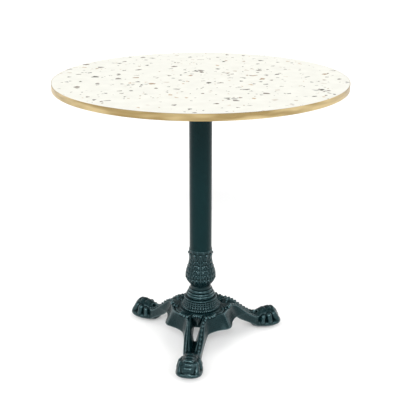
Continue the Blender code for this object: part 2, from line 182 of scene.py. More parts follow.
# a leaf's blade: where it fades in and out, and its outline
BLADE_FOOT, BLADE_TIP = (0.1760, 0.1860), (0.2470, 0.2540)
BLADE_START, BLADE_LENGTH, BLADE_HALF_WIDTH = 0.160, 0.108, 0.0112
BLADE_RISE = 0.0007
PIT_LIMIT = 0.0009  # pits are cut only where the relief is lower than this
RIB = (0.0011, 0.0016)  # width, rise
# rows of bumps round the vase: how many, first angle, height, half length, half width, rise
VASE_BUMPS = (
    (LEAF_COUNT, FRONT + TURN / LEAF_COUNT / 2, 0.2230, 0.0340, 0.0030, 0.0010),
    (LEAF_COUNT, FRONT + TURN / LEAF_COUNT / 2, 0.1870, 0.0070, 0.0035, 0.0016),
    (TIP_COUNT, FRONT, 0.2612, 0.0034, 0.0036, 0.0037),
    (TIP_COUNT, FRONT, 0.2520, 0.0090, 0.0042, 0.0014),
    (TIP_COUNT, FRONT + TURN / TIP_COUNT / 2, 0.2690, 0.0040, 0.0030, 0.0011),
    (2 * LEAF_COUNT, FRONT, 0.1790, 0.0055, 0.0050, 0.0012),
)


def vase_relief(angle, radius, height):
    lift = np.zeros_like(angle)
    side = nearest(angle, LEAF_COUNT, FRONT) * radius
    blade = step_up(height, *BLADE_FOOT) * (1.0 - step_up(height, *BLADE_TIP))
    share = min(max((height - BLADE_START) / BLADE_LENGTH, 0.0), 1.0)
    width = BLADE_HALF_WIDTH * math.sin(math.pi * share) ** 0.7
    lift += blade * BLADE_RISE * (1.0 - step_up(np.abs(side), width - 0.0010, width + 0.0006))
    for middle, out in LOBES:
        for sign in (-1.0, 1.0):
            across = sign * side - out
            along = height - middle
            u = along * math.cos(LOBE_LEAN) + across * math.sin(LOBE_LEAN)
            v = -along * math.sin(LOBE_LEAN) + across * math.cos(LOBE_LEAN)
            lift = np.maximum(lift, dome(u, v, *LOBE))
            lift = np.maximum(lift, dome(u - KNOB_ALONG, v, *LOBE_KNOB))
            pit = dome(height - middle + PIT_BELOW, sign * side - PIT_INWARD, *LOBE_PIT)
            lift = np.where(lift < PIT_LIMIT, lift - pit, lift)
    lift = np.maximum(lift, blade * ridge(side, *RIB))
    for count, start, middle, *size in VASE_BUMPS:
        across = nearest(angle, count, start) * radius
        lift = np.maximum(lift, dome(height - middle, across, *size))
    for middle, half, rise in VASE_RINGS:
        lift += rise * math.sqrt(max(0.0, 1.0 - ((height - middle) / half) ** 2))
    return lift


def build_vase():
    outside = by_length(catmull_rom(VASE_PROFILE, 12), 200)
    bore = 0.0220
    socket = TUBE_HIGH.x + GAP
    ledge = TUBE_LOW.z - GAP
    inside = [(bore, VASE_LOW.z), (bore, ledge), (socket, ledge), (socket, VASE_HIGH.z)]
    mesh = turned_relief("vase_casting", outside, inside, vase_relief, 480)
    return put("vase_casting", mesh, replaces=("column_vase",))


# =====================================================================
# hub: seat ring, groove, basket weave and beads
# =====================================================================
HUB_SEAT = VASE_LOW.z - GAP
# radius, height
HUB_PROFILE = [
    (0.0378, HUB_SEAT), (0.0378, 0.1325), (0.0415, 0.1322), (0.0440, 0.1312), (0.0447, 0.1297),
    (0.0440, 0.1282), (0.0434, 0.1270), (0.0438, 0.1240), (0.0447, 0.1190), (0.0463, 0.1140),
    (0.0485, 0.1095), (0.0505, 0.1075), (0.0514, 0.1060), (0.0518, 0.1040), (0.0524, 0.1018),
    (0.0555, 0.1008), (0.0590, 0.0998), (0.0602, 0.0975), (0.0600, 0.0955),
]
WEAVE_LOW, WEAVE_HIGH = 0.1090, 0.1262
WEAVE_FADE = 0.0004
WEAVE_COLUMNS = 40
WEAVE_ROWS = 3
# width as a share of the spacing, rise
WEAVE_UPRIGHT = (0.20, 0.0017)
WEAVE_CROSS = (0.22, 0.0013)
BEAD_COUNT = 60
BEAD_HEIGHT = 0.1043
BEAD = (0.0024, 0.0024, 0.0023)  # half height, half width, rise
ROD_HOLE = 0.0070
SPIGOT = 0.0217


def hub_relief(angle, radius, height):
    inside_band = step_up(height, WEAVE_LOW - WEAVE_FADE, WEAVE_LOW + WEAVE_FADE)
    inside_band *= 1.0 - step_up(height, WEAVE_HIGH - WEAVE_FADE, WEAVE_HIGH + WEAVE_FADE)
    pitch = (WEAVE_HIGH - WEAVE_LOW) / WEAVE_ROWS
    row = math.floor((height - WEAVE_LOW) / pitch)
    across = nearest(angle, WEAVE_COLUMNS, FRONT) / (TURN / WEAVE_COLUMNS)
    along = (height - WEAVE_LOW) / pitch - row - 0.5
    upright = ridge(across, *WEAVE_UPRIGHT)
    cross = ridge(along, *WEAVE_CROSS) * np.ones_like(angle)
    bead = nearest(angle, BEAD_COUNT, FRONT) * radius
    return np.maximum(inside_band * np.maximum(upright, cross),
                      dome(height - BEAD_HEIGHT, bead, *BEAD))


def build_hub():
    outside = by_length(catmull_rom(HUB_PROFILE, 10), 110)
    inside = [
        (0.0560, 0.0955), (0.0470, 0.1000), (0.0410, 0.1090), (0.0385, 0.1180), (0.0300, 0.1250),
        (ROD_HOLE, 0.1250), (ROD_HOLE, BASE_HIGH.z), (SPIGOT, BASE_HIGH.z), (SPIGOT, HUB_SEAT),
    ]
    mesh = turned_relief("hub_casting", outside, inside, hub_relief, 540)
    return put("hub_casting", mesh)


# =====================================================================
# skirt, legs and paws: one blended body
# =====================================================================
# half a leg in plan, from its end to the middle of the skirt: (along, across) at the rim, at the foot
LEG_HALF_PLAN = [
    ((0.1840, 0.0000), (0.1840, 0.0000)),
    ((0.1795, 0.0120), (0.1795, 0.0140)),
    ((0.1680, 0.0195), (0.1680, 0.0230)),
    ((0.1400, 0.0212), (0.1400, 0.0260)),
    ((0.1150, 0.0220), (0.1180, 0.0290)),
    ((0.0960, 0.0230), (0.1030, 0.0325)),
    ((0.0820, 0.0295), (0.0910, 0.0390)),
    ((0.0720, 0.0400), (0.0810, 0.0490)),
    ((0.0630, 0.0510), (0.0720, 0.0610)),
    ((0.0530, 0.0615), (0.0635, 0.0765)),
    ((0.0460, 0.0675), (0.0570, 0.0855)),
    ((0.0410, 0.0710), (0.0515, 0.0892)),
]
RIM_HEIGHT = 0.0995
SKIRT_FOOT = 0.0620
WALL = 0.0060
# distance from the axis, height
LEG_RIDGE = [
    (0.0000, RIM_HEIGHT), (0.0600, RIM_HEIGHT), (0.0800, RIM_HEIGHT), (0.0880, 0.0985),
    (0.0960, 0.0955), (0.1030, 0.0915), (0.1100, 0.0865), (0.1180, 0.0795), (0.1340, 0.0650),
    (0.1490, 0.0530), (0.1650, 0.0435), (0.1900, 0.0400),
]
LEG_UNDERSIDE = [
    (0.0000, SKIRT_FOOT), (0.0600, SKIRT_FOOT), (0.0980, 0.0610), (0.1060, 0.0555),
    (0.1160, 0.0465), (0.1330, 0.0355), (0.1480, 0.0260), (0.1620, 0.0170), (0.1730, 0.0105),
    (0.1900, 0.0085),
]
CHANNEL_START, CHANNEL_END = 0.0615, 0.1765
CHANNEL = np.array([
    # distance, top height, half width there, floor height, half width there
    (0.0600, 0.1150, 0.0185, 0.0500, 0.0065), (0.0980, 0.1060, 0.0185, 0.0500, 0.0028),
    (0.1130, 0.0960, 0.0185, 0.0500, 0.0022), (0.1400, 0.0720, 0.0175, 0.0400, 0.0020),
    (0.1650, 0.0540, 0.0140, 0.0345, 0.0020), (0.1780, 0.0500, 0.0050, 0.0330, 0.0010),
])
# corners that close a half plan well behind the hub and just across the leg's middle
BEHIND = [[-0.10, 0.1784], [-0.10, -0.001], [0.1840, -0.001]]
RING_RADIUS = 0.0540  # the skirt's inner edge, under the hub
ROLL, ROLL_DROP, ROLL_END = 0.0028, 0.0014, 0.176
HOLLOW_TOP, HOLLOW_END = 0.0940, 0.090
CHANNEL_WALL, CHANNEL_WALL_START = 0.004, 0.0555
GROOVE_INSET, GROOVE, GROOVE_END = 0.0085, 0.0022, 0.085
CUT_MARGIN = 0.0006  # how far each third reaches past its boundary
# heights count for less along the sloping leg, so that walls keep their thickness
SLOPE_SHARE, SLOPE_START, SLOPE_END = 0.20, 0.098, 0.112


def smooth_min(a, b, k):
    h = np.clip(0.5 + 0.5 * (b - a) / k, 0.0, 1.0)
    return b + (a - b) * h - k * h * (1.0 - h)


def smooth_max(a, b, k):
    return -smooth_min(-a, -b, k)


def plan_distance(r, w, outline):
    """Signed distance in plan to half a leg's outline; negative inside."""
    best = np.full(r.shape, 1.0, np.float32)
    inside = np.zeros(r.shape, bool)
    for (ax, ay), (bx, by) in zip(outline, outline[1:]):
        ex, ey = bx - ax, by - ay
        t = np.clip(((r - ax) * ex + (w - ay) * ey) / (ex * ex + ey * ey), 0.0, 1.0)
        best = np.minimum(best, (r - ax - t * ex) ** 2 + (w - ay - t * ey) ** 2)
    corner = np.vstack([outline, BEHIND])
    for (ax, ay), (bx, by) in zip(corner, np.roll(corner, -1, axis=0)):
        crosses = (ay > w) != (by > w)
        span = by - ay if by != ay else 1e-9
        inside ^= crosses & (r < (bx - ax) * (w - ay) / span + ax)
    distance = np.sqrt(best)
    return np.where(inside, -distance, distance)


def ball(r, w, z, middle, radii):
    """Near-distance to an ellipsoid."""
    u, v, s = ((p - m) / q for p, m, q in zip((r, w, z), middle, radii))
    length = np.sqrt(u * u + v * v + s * s)
    return (length - 1.0) * min(radii)


def bar(r, w, z, start, end, first, last):
    """Distance to a tapered rod with round ends."""
    a = np.array(start)
    d = np.array(end) - a
    t = np.clip(((r - a[0]) * d[0] + (w - a[1]) * d[1] + (z - a[2]) * d[2]) / d.dot(d), 0.0, 1.0)
    gap = np.sqrt((r - a[0] - t * d[0]) ** 2 + (w - a[1] - t * d[1]) ** 2
                  + (z - a[2] - t * d[2]) ** 2)
    return gap - (first + (last - first) * t)


def loft_field(r, w, z, sections):
    """Near-distance to a body lofted along the leg from rounded sections."""
    line = catmull_rom(sections, 6)
    half, low, high = (np.interp(r, line[:, 0], line[:, k]) for k in (1, 2, 3))
    middle, tall = (low + high) / 2, (high - low) / 2
    across, up = w / half, np.abs(z - middle) / tall
    length = (np.abs(across) ** SQUARENESS + up ** SQUARENESS) ** (1 / SQUARENESS)
    side = (length - 1.0) * np.minimum(half, tall)
    ends = np.maximum(line[0, 0] - r, r - line[-1, 0])
    return smooth_max(side, ends, 0.003)


# lofts of the foot: distance along the leg, half width, underside, upper side
SQUARENESS = 2.6  # of a section: 2 is an ellipse, more is boxier
PLINTH = np.array([
    (0.158, 0.0175, 0.0085, 0.0290), (0.170, 0.0235, 0.0062, 0.0290), (0.184, 0.0300, 0.0058, 0.0270),
    (0.200, 0.0345, 0.0058, 0.0260), (0.215, 0.0352, 0.0060, 0.0258), (0.228, 0.0330, 0.0075, 0.0258),
    (0.237, 0.0275, 0.0100, 0.0250), (0.2425, 0.0190, 0.0125, 0.0230), (0.2450, 0.0080, 0.0140, 0.0205),
])
PAW_BODY = np.array([
    (0.158, 0.0150, 0.018, 0.0450), (0.172, 0.0185, 0.014, 0.0490), (0.186, 0.0205, 0.012, 0.0525),
    (0.200, 0.0225, 0.012, 0.0548), (0.214, 0.0230, 0.012, 0.0555), (0.225, 0.0215, 0.012, 0.0530),
    (0.233, 0.0185, 0.012, 0.0450), (0.2390, 0.0145, 0.012, 0.0330), (0.2420, 0.0085, 0.014, 0.0240),
])
# toes: knuckle (distance, out, height, radius), then the toe's end, curled back under it
TOES = (
    ((0.2195, 0.0185, 0.0410, 0.0086), (0.2285, 0.0215, 0.0245, 0.0084)),
    ((0.2030, 0.0228, 0.0390, 0.0082), (0.2045, 0.0280, 0.0245, 0.0070)),
    ((0.1865, 0.0208, 0.0360, 0.0072), (0.1830, 0.0250, 0.0240, 0.0062)),
)
# the pits between the toes (distance, out, height)
PITS = ((0.2125, 0.0285, 0.0350), (0.1940, 0.0275, 0.0335))
PIT_SIZE = (0.0024, 0.0030, 0.0060)
FOLD_PITCH = 0.0163
FOLD_START = 0.1925
FOLD_RISE = 0.0030
FOLD_LEAN = 0.9
FOLD_SHARPNESS = 0.7
PAW_HEIGHT = 0.0555
SOLE_HEIGHT = 0.0058


def paw(r, w, z):
    """Lion's paw: rounded sole, knuckle folds over the middle and three curled toes on each side."""
    run = r - FOLD_LEAN * (z - PAW_HEIGHT)
    fold = np.abs(np.cos(math.pi * (run - FOLD_START) / FOLD_PITCH)) ** FOLD_SHARPNESS
    fold *= (1.0 - step_up(w, 0.0050, 0.0155)) * step_up(z, 0.020, 0.030) * step_up(r, 0.176, 0.184)
    body = loft_field(r, w, z, PAW_BODY) - FOLD_RISE * fold
    body = smooth_min(loft_field(r, w, z, PLINTH), body, 0.0020)
    for (near, out, up, first), (far, reach, down, last) in TOES:
        toe = bar(r, w, z, (near, out, up), (far, reach, down), first, last)
        body = smooth_min(body, toe, 0.0030)
    for near, out, up in PITS:
        body = smooth_max(body, -ball(r, w, z, (near, out, up), PIT_SIZE), 0.0024)
    return smooth_max(body, SOLE_HEIGHT - z, 0.0015)


# lobes of the palmette: how far out, height and distance of the tip, radius there
PALMETTE_LOBES = (
    (0.0, 0.1060, 0.0785, 0.0036), (0.0058, 0.1045, 0.0775, 0.0033), (0.0104, 0.1000, 0.0740, 0.0029),
)


def palmette(r, w, z):
    """The shell-shaped leaf that leans out over a channel's mouth."""
    leaf = bar(r, w, z, (0.0590, 0.0, 0.0700), (0.0700, 0.0, 0.0950), 0.0030, 0.0040)
    for out, up, reach, size in PALMETTE_LOBES:
        lobe = bar(r, w, z, (0.0620, out * 0.30, 0.0780), (reach, out, up), 0.0022, size)
        leaf = smooth_min(leaf, lobe, 0.0012)
    return leaf


# fingers of the acanthus leaf that lies on the shelf beside a channel's mouth
LEAF_ROOT = (0.0545, 0.0160, 0.0985)
LEAF_FINGERS = (
    (0.0765, 0.0265, 0.1000), (0.0735, 0.0345, 0.1010), (0.0670, 0.0415, 0.1010),
    (0.0580, 0.0455, 0.1000), (0.0480, 0.0450, 0.0985),
)
ROPE_START, ROPE_PITCH, ROPE_COUNT = 0.0860, 0.0093, 10
ROPE_BEADS = np.array([ROPE_START + ROPE_PITCH * k for k in range(ROPE_COUNT)])
ROPE_BEAD = (0.0046, 0.0030, 0.0036)
FAINT = 0.0014  # how much smaller the beads are on a leg's other wall


def shelf_leaf(r, w, z):
    leaf = None
    for tip in LEAF_FINGERS:
        finger = bar(r, w, z, LEAF_ROOT, tip, 0.0030, 0.0044)
        leaf = finger if leaf is None else smooth_min(leaf, finger, 0.0012)
    curl = bar(r, w, z, (0.0640, 0.0445, 0.1030), (0.0660, 0.0460, 0.1035), 0.0052, 0.0040)
    leaf = smooth_min(leaf, curl, 0.0006)
    pit = ball(r, w, z, (0.0600, 0.0475, 0.1045), (0.0030, 0.0030, 0.0045))
    return smooth_max(leaf, -pit, 0.0008)


def rope(r, across, z):
    """A row of beads along the crest of each of a leg's walls, bolder on one of them."""
    w = np.abs(across)
    shrink = np.where(across > 0.0, 0.0, FAINT)
    crest = np.interp(ROPE_BEADS, RIDGE_LINE[:, 0], RIDGE_LINE[:, 1])
    out = np.interp(ROPE_BEADS, WALL_CREST[:, 0], WALL_CREST[:, 1])
    best = None
    for along, up, side in zip(ROPE_BEADS, crest, out):
        bead = ball(r, w, z, (along, side, up), ROPE_BEAD) + shrink
        best = bead if best is None else np.minimum(best, bead)
    return best


def base_field(points):
    """One third of the base, in the frame of its leg: along the leg, across it, up."""
    r, across, z = points.T
    w = np.abs(across)
    radius = np.hypot(r, w)
    near_rim = plan_distance(r, w, RIM_LINE)
    near_foot = plan_distance(r, w, FOOT_LINE)
    drop = np.clip((RIM_HEIGHT - z) / (RIM_HEIGHT - SKIRT_FOOT), 0.0, 1.0)
    star = near_rim + (near_foot - near_rim) * drop
    top = np.interp(radius, RIDGE_LINE[:, 0], RIDGE_LINE[:, 1])
    bottom = np.interp(radius, UNDER_LINE[:, 0], UNDER_LINE[:, 1])
    slope = 1.0 - SLOPE_SHARE * step_up(radius, SLOPE_START, SLOPE_END)
    solid = smooth_max(star, (z - top) * slope, 0.0030)
    solid = smooth_max(solid, (bottom - z) * slope, 0.0030)
    # rolled rim, and the beads along the crests of the walls
    roll = np.hypot(near_rim + ROLL, (z - top + ROLL_DROP) * slope) - ROLL
    roll = np.maximum(roll, radius - ROLL_END)
    solid = smooth_min(solid, roll, 0.0008)
    solid = smooth_min(solid, rope(r, across, z), 0.0012)
    # channel and the hollow under the hub
    high, width, floor, floor_width = (np.interp(r, CHANNEL[:, 0], CHANNEL[:, k])
                                       for k in (1, 2, 3, 4))
    level = np.clip((z - floor) / (high - floor), 0.0, 1.2)
    half = floor_width + (width - floor_width) * level
    channel = smooth_max(w - half, floor - z, 0.0015)
    channel = smooth_max(smooth_max(channel, CHANNEL_START - r, 0.0015), r - CHANNEL_END, 0.004)
    beside = np.minimum(half + CHANNEL_WALL - w, radius - CHANNEL_WALL_START)
    hollow = np.maximum(np.maximum(star + WALL, r - HOLLOW_END), np.maximum(z - HOLLOW_TOP, beside))
    solid = smooth_max(solid, -hollow, 0.0015)
    groove = np.hypot(near_rim + GROOVE_INSET, (z - top) * slope) - GROOVE
    solid = smooth_max(solid, -np.maximum(groove, r - GROOVE_END), 0.0010)
    solid = smooth_min(solid, shelf_leaf(r, w, z), 0.0006)
    solid = smooth_max(solid, RING_RADIUS - radius, 0.001)
    solid = smooth_min(solid, paw(r, w, z), 0.0030)
    solid = smooth_max(solid, -channel, 0.0016)
    solid = smooth_min(solid, palmette(r, w, z), 0.0010)
    boundary = w * math.cos(TURN / 6) - r * math.sin(TURN / 6)
    return np.maximum(solid, boundary - CUT_MARGIN)


RIM_LINE = catmull_rom([pair[0] for pair in LEG_HALF_PLAN], 3)
FOOT_LINE = catmull_rom([pair[1] for pair in LEG_HALF_PLAN], 3)
RIDGE_LINE = catmull_rom(LEG_RIDGE, 6)
UNDER_LINE = catmull_rom(LEG_UNDERSIDE, 6)
WALL_CREST = np.array([(0.0820, 0.0270), (0.0960, 0.0205), (0.1150, 0.0192), (0.1400, 0.0185),
                       (0.1680, 0.0168), (0.1760, 0.0150)])


def field_mesh(name, field, low, high, step):
    """Surface nets: a closed quad mesh of a field's zero surface, worked out only near it."""
    block = 6
    low = np.array(low)
    blocks = np.ceil((np.array(high) - low) / (step * block)).astype(int)
    size = blocks * block + 1
    grid = np.ones(size, np.float32)
    index = np.stack(np.meshgrid(*(np.arange(n) for n in blocks), indexing="ij"), -1).reshape(-1, 3)
    middle = low + (index + 0.5) * block * step
    rough = np.concatenate([field(part) for part in np.array_split(middle, 8)])
    reach = block * step * 1.25  # a block farther off than this holds no surface
    batch = 1500  # blocks worked out at a time
    for corner, value in zip(index[rough < -reach], rough[rough < -reach]):
        a = corner * block
        grid[a[0]:a[0] + block + 1, a[1]:a[1] + block + 1, a[2]:a[2] + block + 1] = value
    near = index[np.abs(rough) <= reach]
    cell = np.stack(np.meshgrid(*(np.arange(block + 1),) * 3, indexing="ij"), -1).reshape(-1, 3)
    for part in np.array_split(near, max(1, len(near) // batch)):
        spots = (part[:, None, :] * block + cell[None]).reshape(-1, 3)
        grid[tuple(spots.T)] = field(low + spots * step)
    inside = grid < 0.0
    corners = np.stack(np.meshgrid((0, 1), (0, 1), (0, 1), indexing="ij"), -1).reshape(-1, 3)
    full = np.array(grid.shape) - 1
    count = np.zeros(full, np.int8)
    for a, b, c in corners:
        count += inside[a:a + full[0], b:b + full[1], c:c + full[2]]
    cells = np.argwhere((count > 0) & (count < 8))
    total = np.zeros((len(cells), 3))
    hits = np.zeros(len(cells))
    for a in corners:
        for axis in range(3):
            if a[axis]:
                continue
            b = a.copy()
            b[axis] = 1
            first = grid[tuple((cells + a).T)].astype(float)
            second = grid[tuple((cells + b).T)].astype(float)
            cut = (first < 0.0) != (second < 0.0)
            share = np.where(cut, first / np.where(cut, first - second, 1.0), 0.0)
            total += np.where(cut[:, None], a + share[:, None] * (b - a), 0.0)
            hits += cut
    points = low + (cells + total / hits[:, None]) * step
    number = np.full(full, -1, np.int64)
    number[tuple(cells.T)] = np.arange(len(cells))
    quads = []
    for axis in range(3):
        u, v = (axis + 1) % 3, (axis + 2) % 3
        start = [slice(1, -1)] * 3
        start[axis] = slice(0, -1)
        stop = list(start)
        stop[axis] = slice(1, None)
        flips = np.argwhere(inside[tuple(start)] != inside[tuple(stop)])
        flips[:, u] += 1
        flips[:, v] += 1
        back_u, back_v = np.zeros(3, int), np.zeros(3, int)
        back_u[u], back_v[v] = 1, 1
        quads.append(np.stack([number[tuple((flips - shift).T)]
                               for shift in (0 * back_u, back_u, back_u + back_v, back_v)], -1))
    quads = np.concatenate(quads)
    # keep only the biggest island, so no crumb of the field is left inside or outside
    island = np.arange(len(points))
    while True:
        spread = island.copy()
        lowest = island[quads].min(axis=1)
        for k in range(4):
            np.minimum.at(spread, quads[:, k], lowest)
        spread = spread[spread]
        if (spread == island).all():
            break
        island = spread
    home = island[quads[:, 0]]
    used, order = np.unique(quads[home == np.bincount(home).argmax()], return_inverse=True)
    return mesh_of(name, points[used], order.reshape(-1, 4))


def build_base():
    """One third, turned to each leg's place. Neighbours overlap by twice the cut's margin."""
    step = 0.0010
    low, high = (0.0200, -0.0930, 0.0), (0.2500, 0.0930, 0.1160)
    mesh = field_mesh("base_third", base_field, low, high, step)
    pieces = []
    for side, azimuth in LEG_AZIMUTHS.items():
        third = mesh.copy()
        third.transform(Matrix.Rotation(math.radians(azimuth), 4, "Z"))
        replaced = ("base_casting",) if side == "front" else ()
        pieces.append(put("base_third_" + side, third, replaces=replaced))
    return pieces


# =====================================================================
# plain turned pieces
# =====================================================================
def plain(angle, radius, height):
    return np.zeros_like(angle)


def build_tube():
    radius = TUBE_HIGH.x
    wall = 0.0025
    edge = 0.0004
    outside = np.array([(radius - edge, TUBE_HIGH.z), (radius, TUBE_HIGH.z - edge),
                        (radius, (TUBE_LOW.z + TUBE_HIGH.z) / 2),
                        (radius, TUBE_LOW.z + edge), (radius - edge, TUBE_LOW.z)])
    inside = [(radius - wall, TUBE_LOW.z), (radius - wall, TUBE_HIGH.z)]
    mesh = turned_relief("tube", outside, inside, plain, 160)
    mesh.set_sharp_from_angle(angle=CREASE)
    return put("tube", mesh, replaces=("column_tube",))


def build_band():
    radius = TOP_HIGH.x
    inner = SHEET_HIGH.x + GAP
    low, high = TOP_LOW.z, TOP_HIGH.z
    edge = 0.0003
    outside = np.array([(inner, high), (radius - edge, high), (radius, high - edge),
                        (radius, low + edge), (radius - edge, low), (inner, low)])
    mesh = turned_relief("edge_band", outside, [(inner, (low + high) / 2)], plain, 360)
    mesh.set_sharp_from_angle(angle=CREASE)
    return put("edge_band", mesh, replaces=("brass_edge_band",))


def build_sheet():
    radius = SHEET_HIGH.x
    bm = bmesh.new()
    bmesh.ops.create_cone(bm, cap_ends=True, segments=360, radius1=radius, radius2=radius,
                          depth=SHEET_HIGH.z - SHEET_LOW.z)
    bmesh.ops.translate(bm, vec=(0.0, 0.0, (SHEET_LOW.z + SHEET_HIGH.z) / 2), verts=bm.verts)
    mesh = bpy.data.meshes.new("terrazzo_sheet")
    bm.to_mesh(mesh)
    bm.free()
    return put("terrazzo_sheet", mesh, replaces=("terrazzo_laminate",))


# =====================================================================
# materials
# =====================================================================
class Nodes:
    """A short way to write a material's nodes."""

    def __init__(self, name):
        self.material = bpy.data.materials.new(name)
        self.material.use_nodes = True
        self.tree = self.material.node_tree
        self.shader = self.tree.nodes["Principled BSDF"]

    def add(self, kind, inputs=None, **settings):
        node = self.tree.nodes.new(kind)
        for key, value in settings.items():
            setattr(node, key, value)
        for key, value in (inputs or {}).items():
            self.feed(node.inputs[key], value)
        return node

    def feed(self, socket, value):
        if isinstance(value, bpy.types.NodeSocket):
            self.tree.links.new(value, socket)
        else:
            socket.default_value = value

    def math(self, operation, *values):
        node = self.add("ShaderNodeMath", operation=operation)
        for socket, value in zip(node.inputs, values):
            self.feed(socket, value)
        return node.outputs[0]

    def mix(self, factor, first, second):
        node = self.add("ShaderNodeMix", data_type="RGBA")
        self.feed(node.inputs["Factor"], factor)
        self.feed(node.inputs["A"], first)
        self.feed(node.inputs["B"], second)
        return node.outputs["Result"]

    def ramp(self, value, stops, interpolation="LINEAR"):
        node = self.add("ShaderNodeValToRGB")
        node.color_ramp.interpolation = interpolation
        elements = node.color_ramp.elements
        while len(elements) < len(stops):
            elements.new(0.5)
        for element, (place, color) in zip(elements, stops):
            element.position = place
            element.color = color if len(color) == 4 else (*color, 1.0)
        self.feed(node.inputs[0], value)
        return node.outputs[0]

    def noise(self, scale, detail, vector):
        node = self.add("ShaderNodeTexNoise", {"Scale": scale, "Detail": detail, "Vector": vector})
        return node.outputs["Fac"]

    def place(self):
        return self.add("ShaderNodeTexCoord").outputs["Object"]

    def bump(self, height, strength, distance):
        node = self.add("ShaderNodeBump", {"Strength": strength, "Distance": distance})
        self.feed(node.inputs["Height"], height)
        self.feed(self.shader.inputs["Normal"], node.outputs[0])

    def set(self, **values):
        for key, value in values.items():
            self.feed(self.shader.inputs[key.replace("_", " ")], value)


def grey(value):
    return (value, value, value, 1.0)


# Between these two values the paint goes from painted shade to painted highlight.
HOLLOW_POINT, RAISED_POINT = 0.488, 0.530  # mesh pointiness in a hollow and on a raised edge
PAINT_TINT = (0.62, 0.95, 1.0, 1.0)  # keeps the white floor's reflection from greying the paint


def paint_material(name, color, bump_size, shine, edge_and_hollow_shading):
    """Dark green satin paint on metal, with random tone from noise. Where the shading flag is set, shade
    is painted into the hollows, darker and less shiny, and highlights onto raised edges, lighter and
    shinier.
    """
    m = Nodes(name)
    place = m.place()
    fine = m.noise(900.0, 3.0, place)
    coarse = m.noise(140.0, 4.0, place)
    raised = 0.5
    # Mesh pointiness drives the painted shade in the hollows and the painted highlights on raised edges.
    if edge_and_hollow_shading:
        point = m.add("ShaderNodeNewGeometry").outputs["Pointiness"]
        raised = m.add("ShaderNodeMapRange", {
            "Value": point, "From Min": HOLLOW_POINT, "From Max": RAISED_POINT}).outputs[0]
    # Colour: painted shade in the hollows, painted highlight on raised edges, and random tone from the
    # coarse noise.
    shade_highlight_and_tone = m.math("ADD", m.math("MULTIPLY", raised, 1.3), m.math("MULTIPLY", coarse, 0.5))
    tinted = m.add("ShaderNodeMix", data_type="RGBA", blend_type="MULTIPLY")
    m.feed(tinted.inputs["Factor"], 1.0)
    m.feed(tinted.inputs["A"], (*color, 1.0))
    m.feed(tinted.inputs["B"], shade_highlight_and_tone)
    m.set(Base_Color=tinted.outputs["Result"], Specular_Tint=PAINT_TINT)
    # Shine: lowered in the hollows as painted shade, raised on the edges as painted highlight.
    hollow_shade_edge_shine = m.math("ADD", m.math("MULTIPLY", raised, 1.9), 0.10)
    m.set(Specular_IOR_Level=m.math("MULTIPLY", hollow_shade_edge_shine, shine))
    m.set(Roughness=m.ramp(fine, [(0.3, grey(0.22)), (0.7, grey(0.32))]))
    height = m.math("ADD", m.math("MULTIPLY", fine, 0.35), coarse)
    m.bump(height, 0.5, bump_size)
    return m.material


def brass_material():
    m = Nodes("brushed_brass")
    place = m.add("ShaderNodeSeparateXYZ", {"Vector": m.place()})
    angle = m.math("ARCTAN2", place.outputs["Y"], place.outputs["X"])
    streak = m.add("ShaderNodeCombineXYZ", {
        "X": m.math("MULTIPLY", angle, 3.0), "Y": 0.0,
        "Z": m.math("MULTIPLY", place.outputs["Z"], 900.0)})
    lines = m.noise(2.2, 3.0, streak.outputs[0])
    # Broad patches round the band, painted lighter and darker as painted reflections of the studio.
    reflection_patch = m.noise(2.6, 2.0, m.add("ShaderNodeCombineXYZ", {
        "X": m.math("COSINE", angle), "Y": m.math("SINE", angle),
        "Z": m.math("MULTIPLY", place.outputs["Z"], 14.0)}).outputs[0])
    # A darker and a lighter brass tone. The patches mix them as painted reflection, and the fine lines
    # give the brushing grain.
    dark = m.mix(lines, (0.29, 0.205, 0.083, 1.0), (0.41, 0.300, 0.133, 1.0))
    light = m.mix(lines, (0.54, 0.410, 0.205, 1.0), (0.68, 0.545, 0.305, 1.0))
    color = m.mix(m.ramp(reflection_patch, [(0.40, grey(0.0)), (0.56, grey(1.0))]), dark, light)
    m.set(Base_Color=color, Metallic=1.0, Anisotropic=0.4)
    m.set(Roughness=m.ramp(reflection_patch, [(0.3, grey(0.26)), (0.7, grey(0.38))]))
    m.bump(lines, 0.25, 0.0002)
    return m.material


CHIP_COLORS = [
    (0.00, (0.12, 0.115, 0.10)), (0.22, (0.20, 0.17, 0.14)), (0.42, (0.37, 0.27, 0.18)),
    (0.52, (0.27, 0.25, 0.225)), (0.72, (0.50, 0.38, 0.26)), (0.80, (0.46, 0.45, 0.42)),
    (0.92, (0.60, 0.56, 0.49)),
]
# chips in three sizes: cells to a metre, share of the cells that hold one, width of the rim, offset
CHIP_SIZES = (
    (66.0, 0.036, 0.11, 0.0), (105.0, 0.030, 0.10, 3.1), (200.0, 0.014, 0.12, 7.7),
)


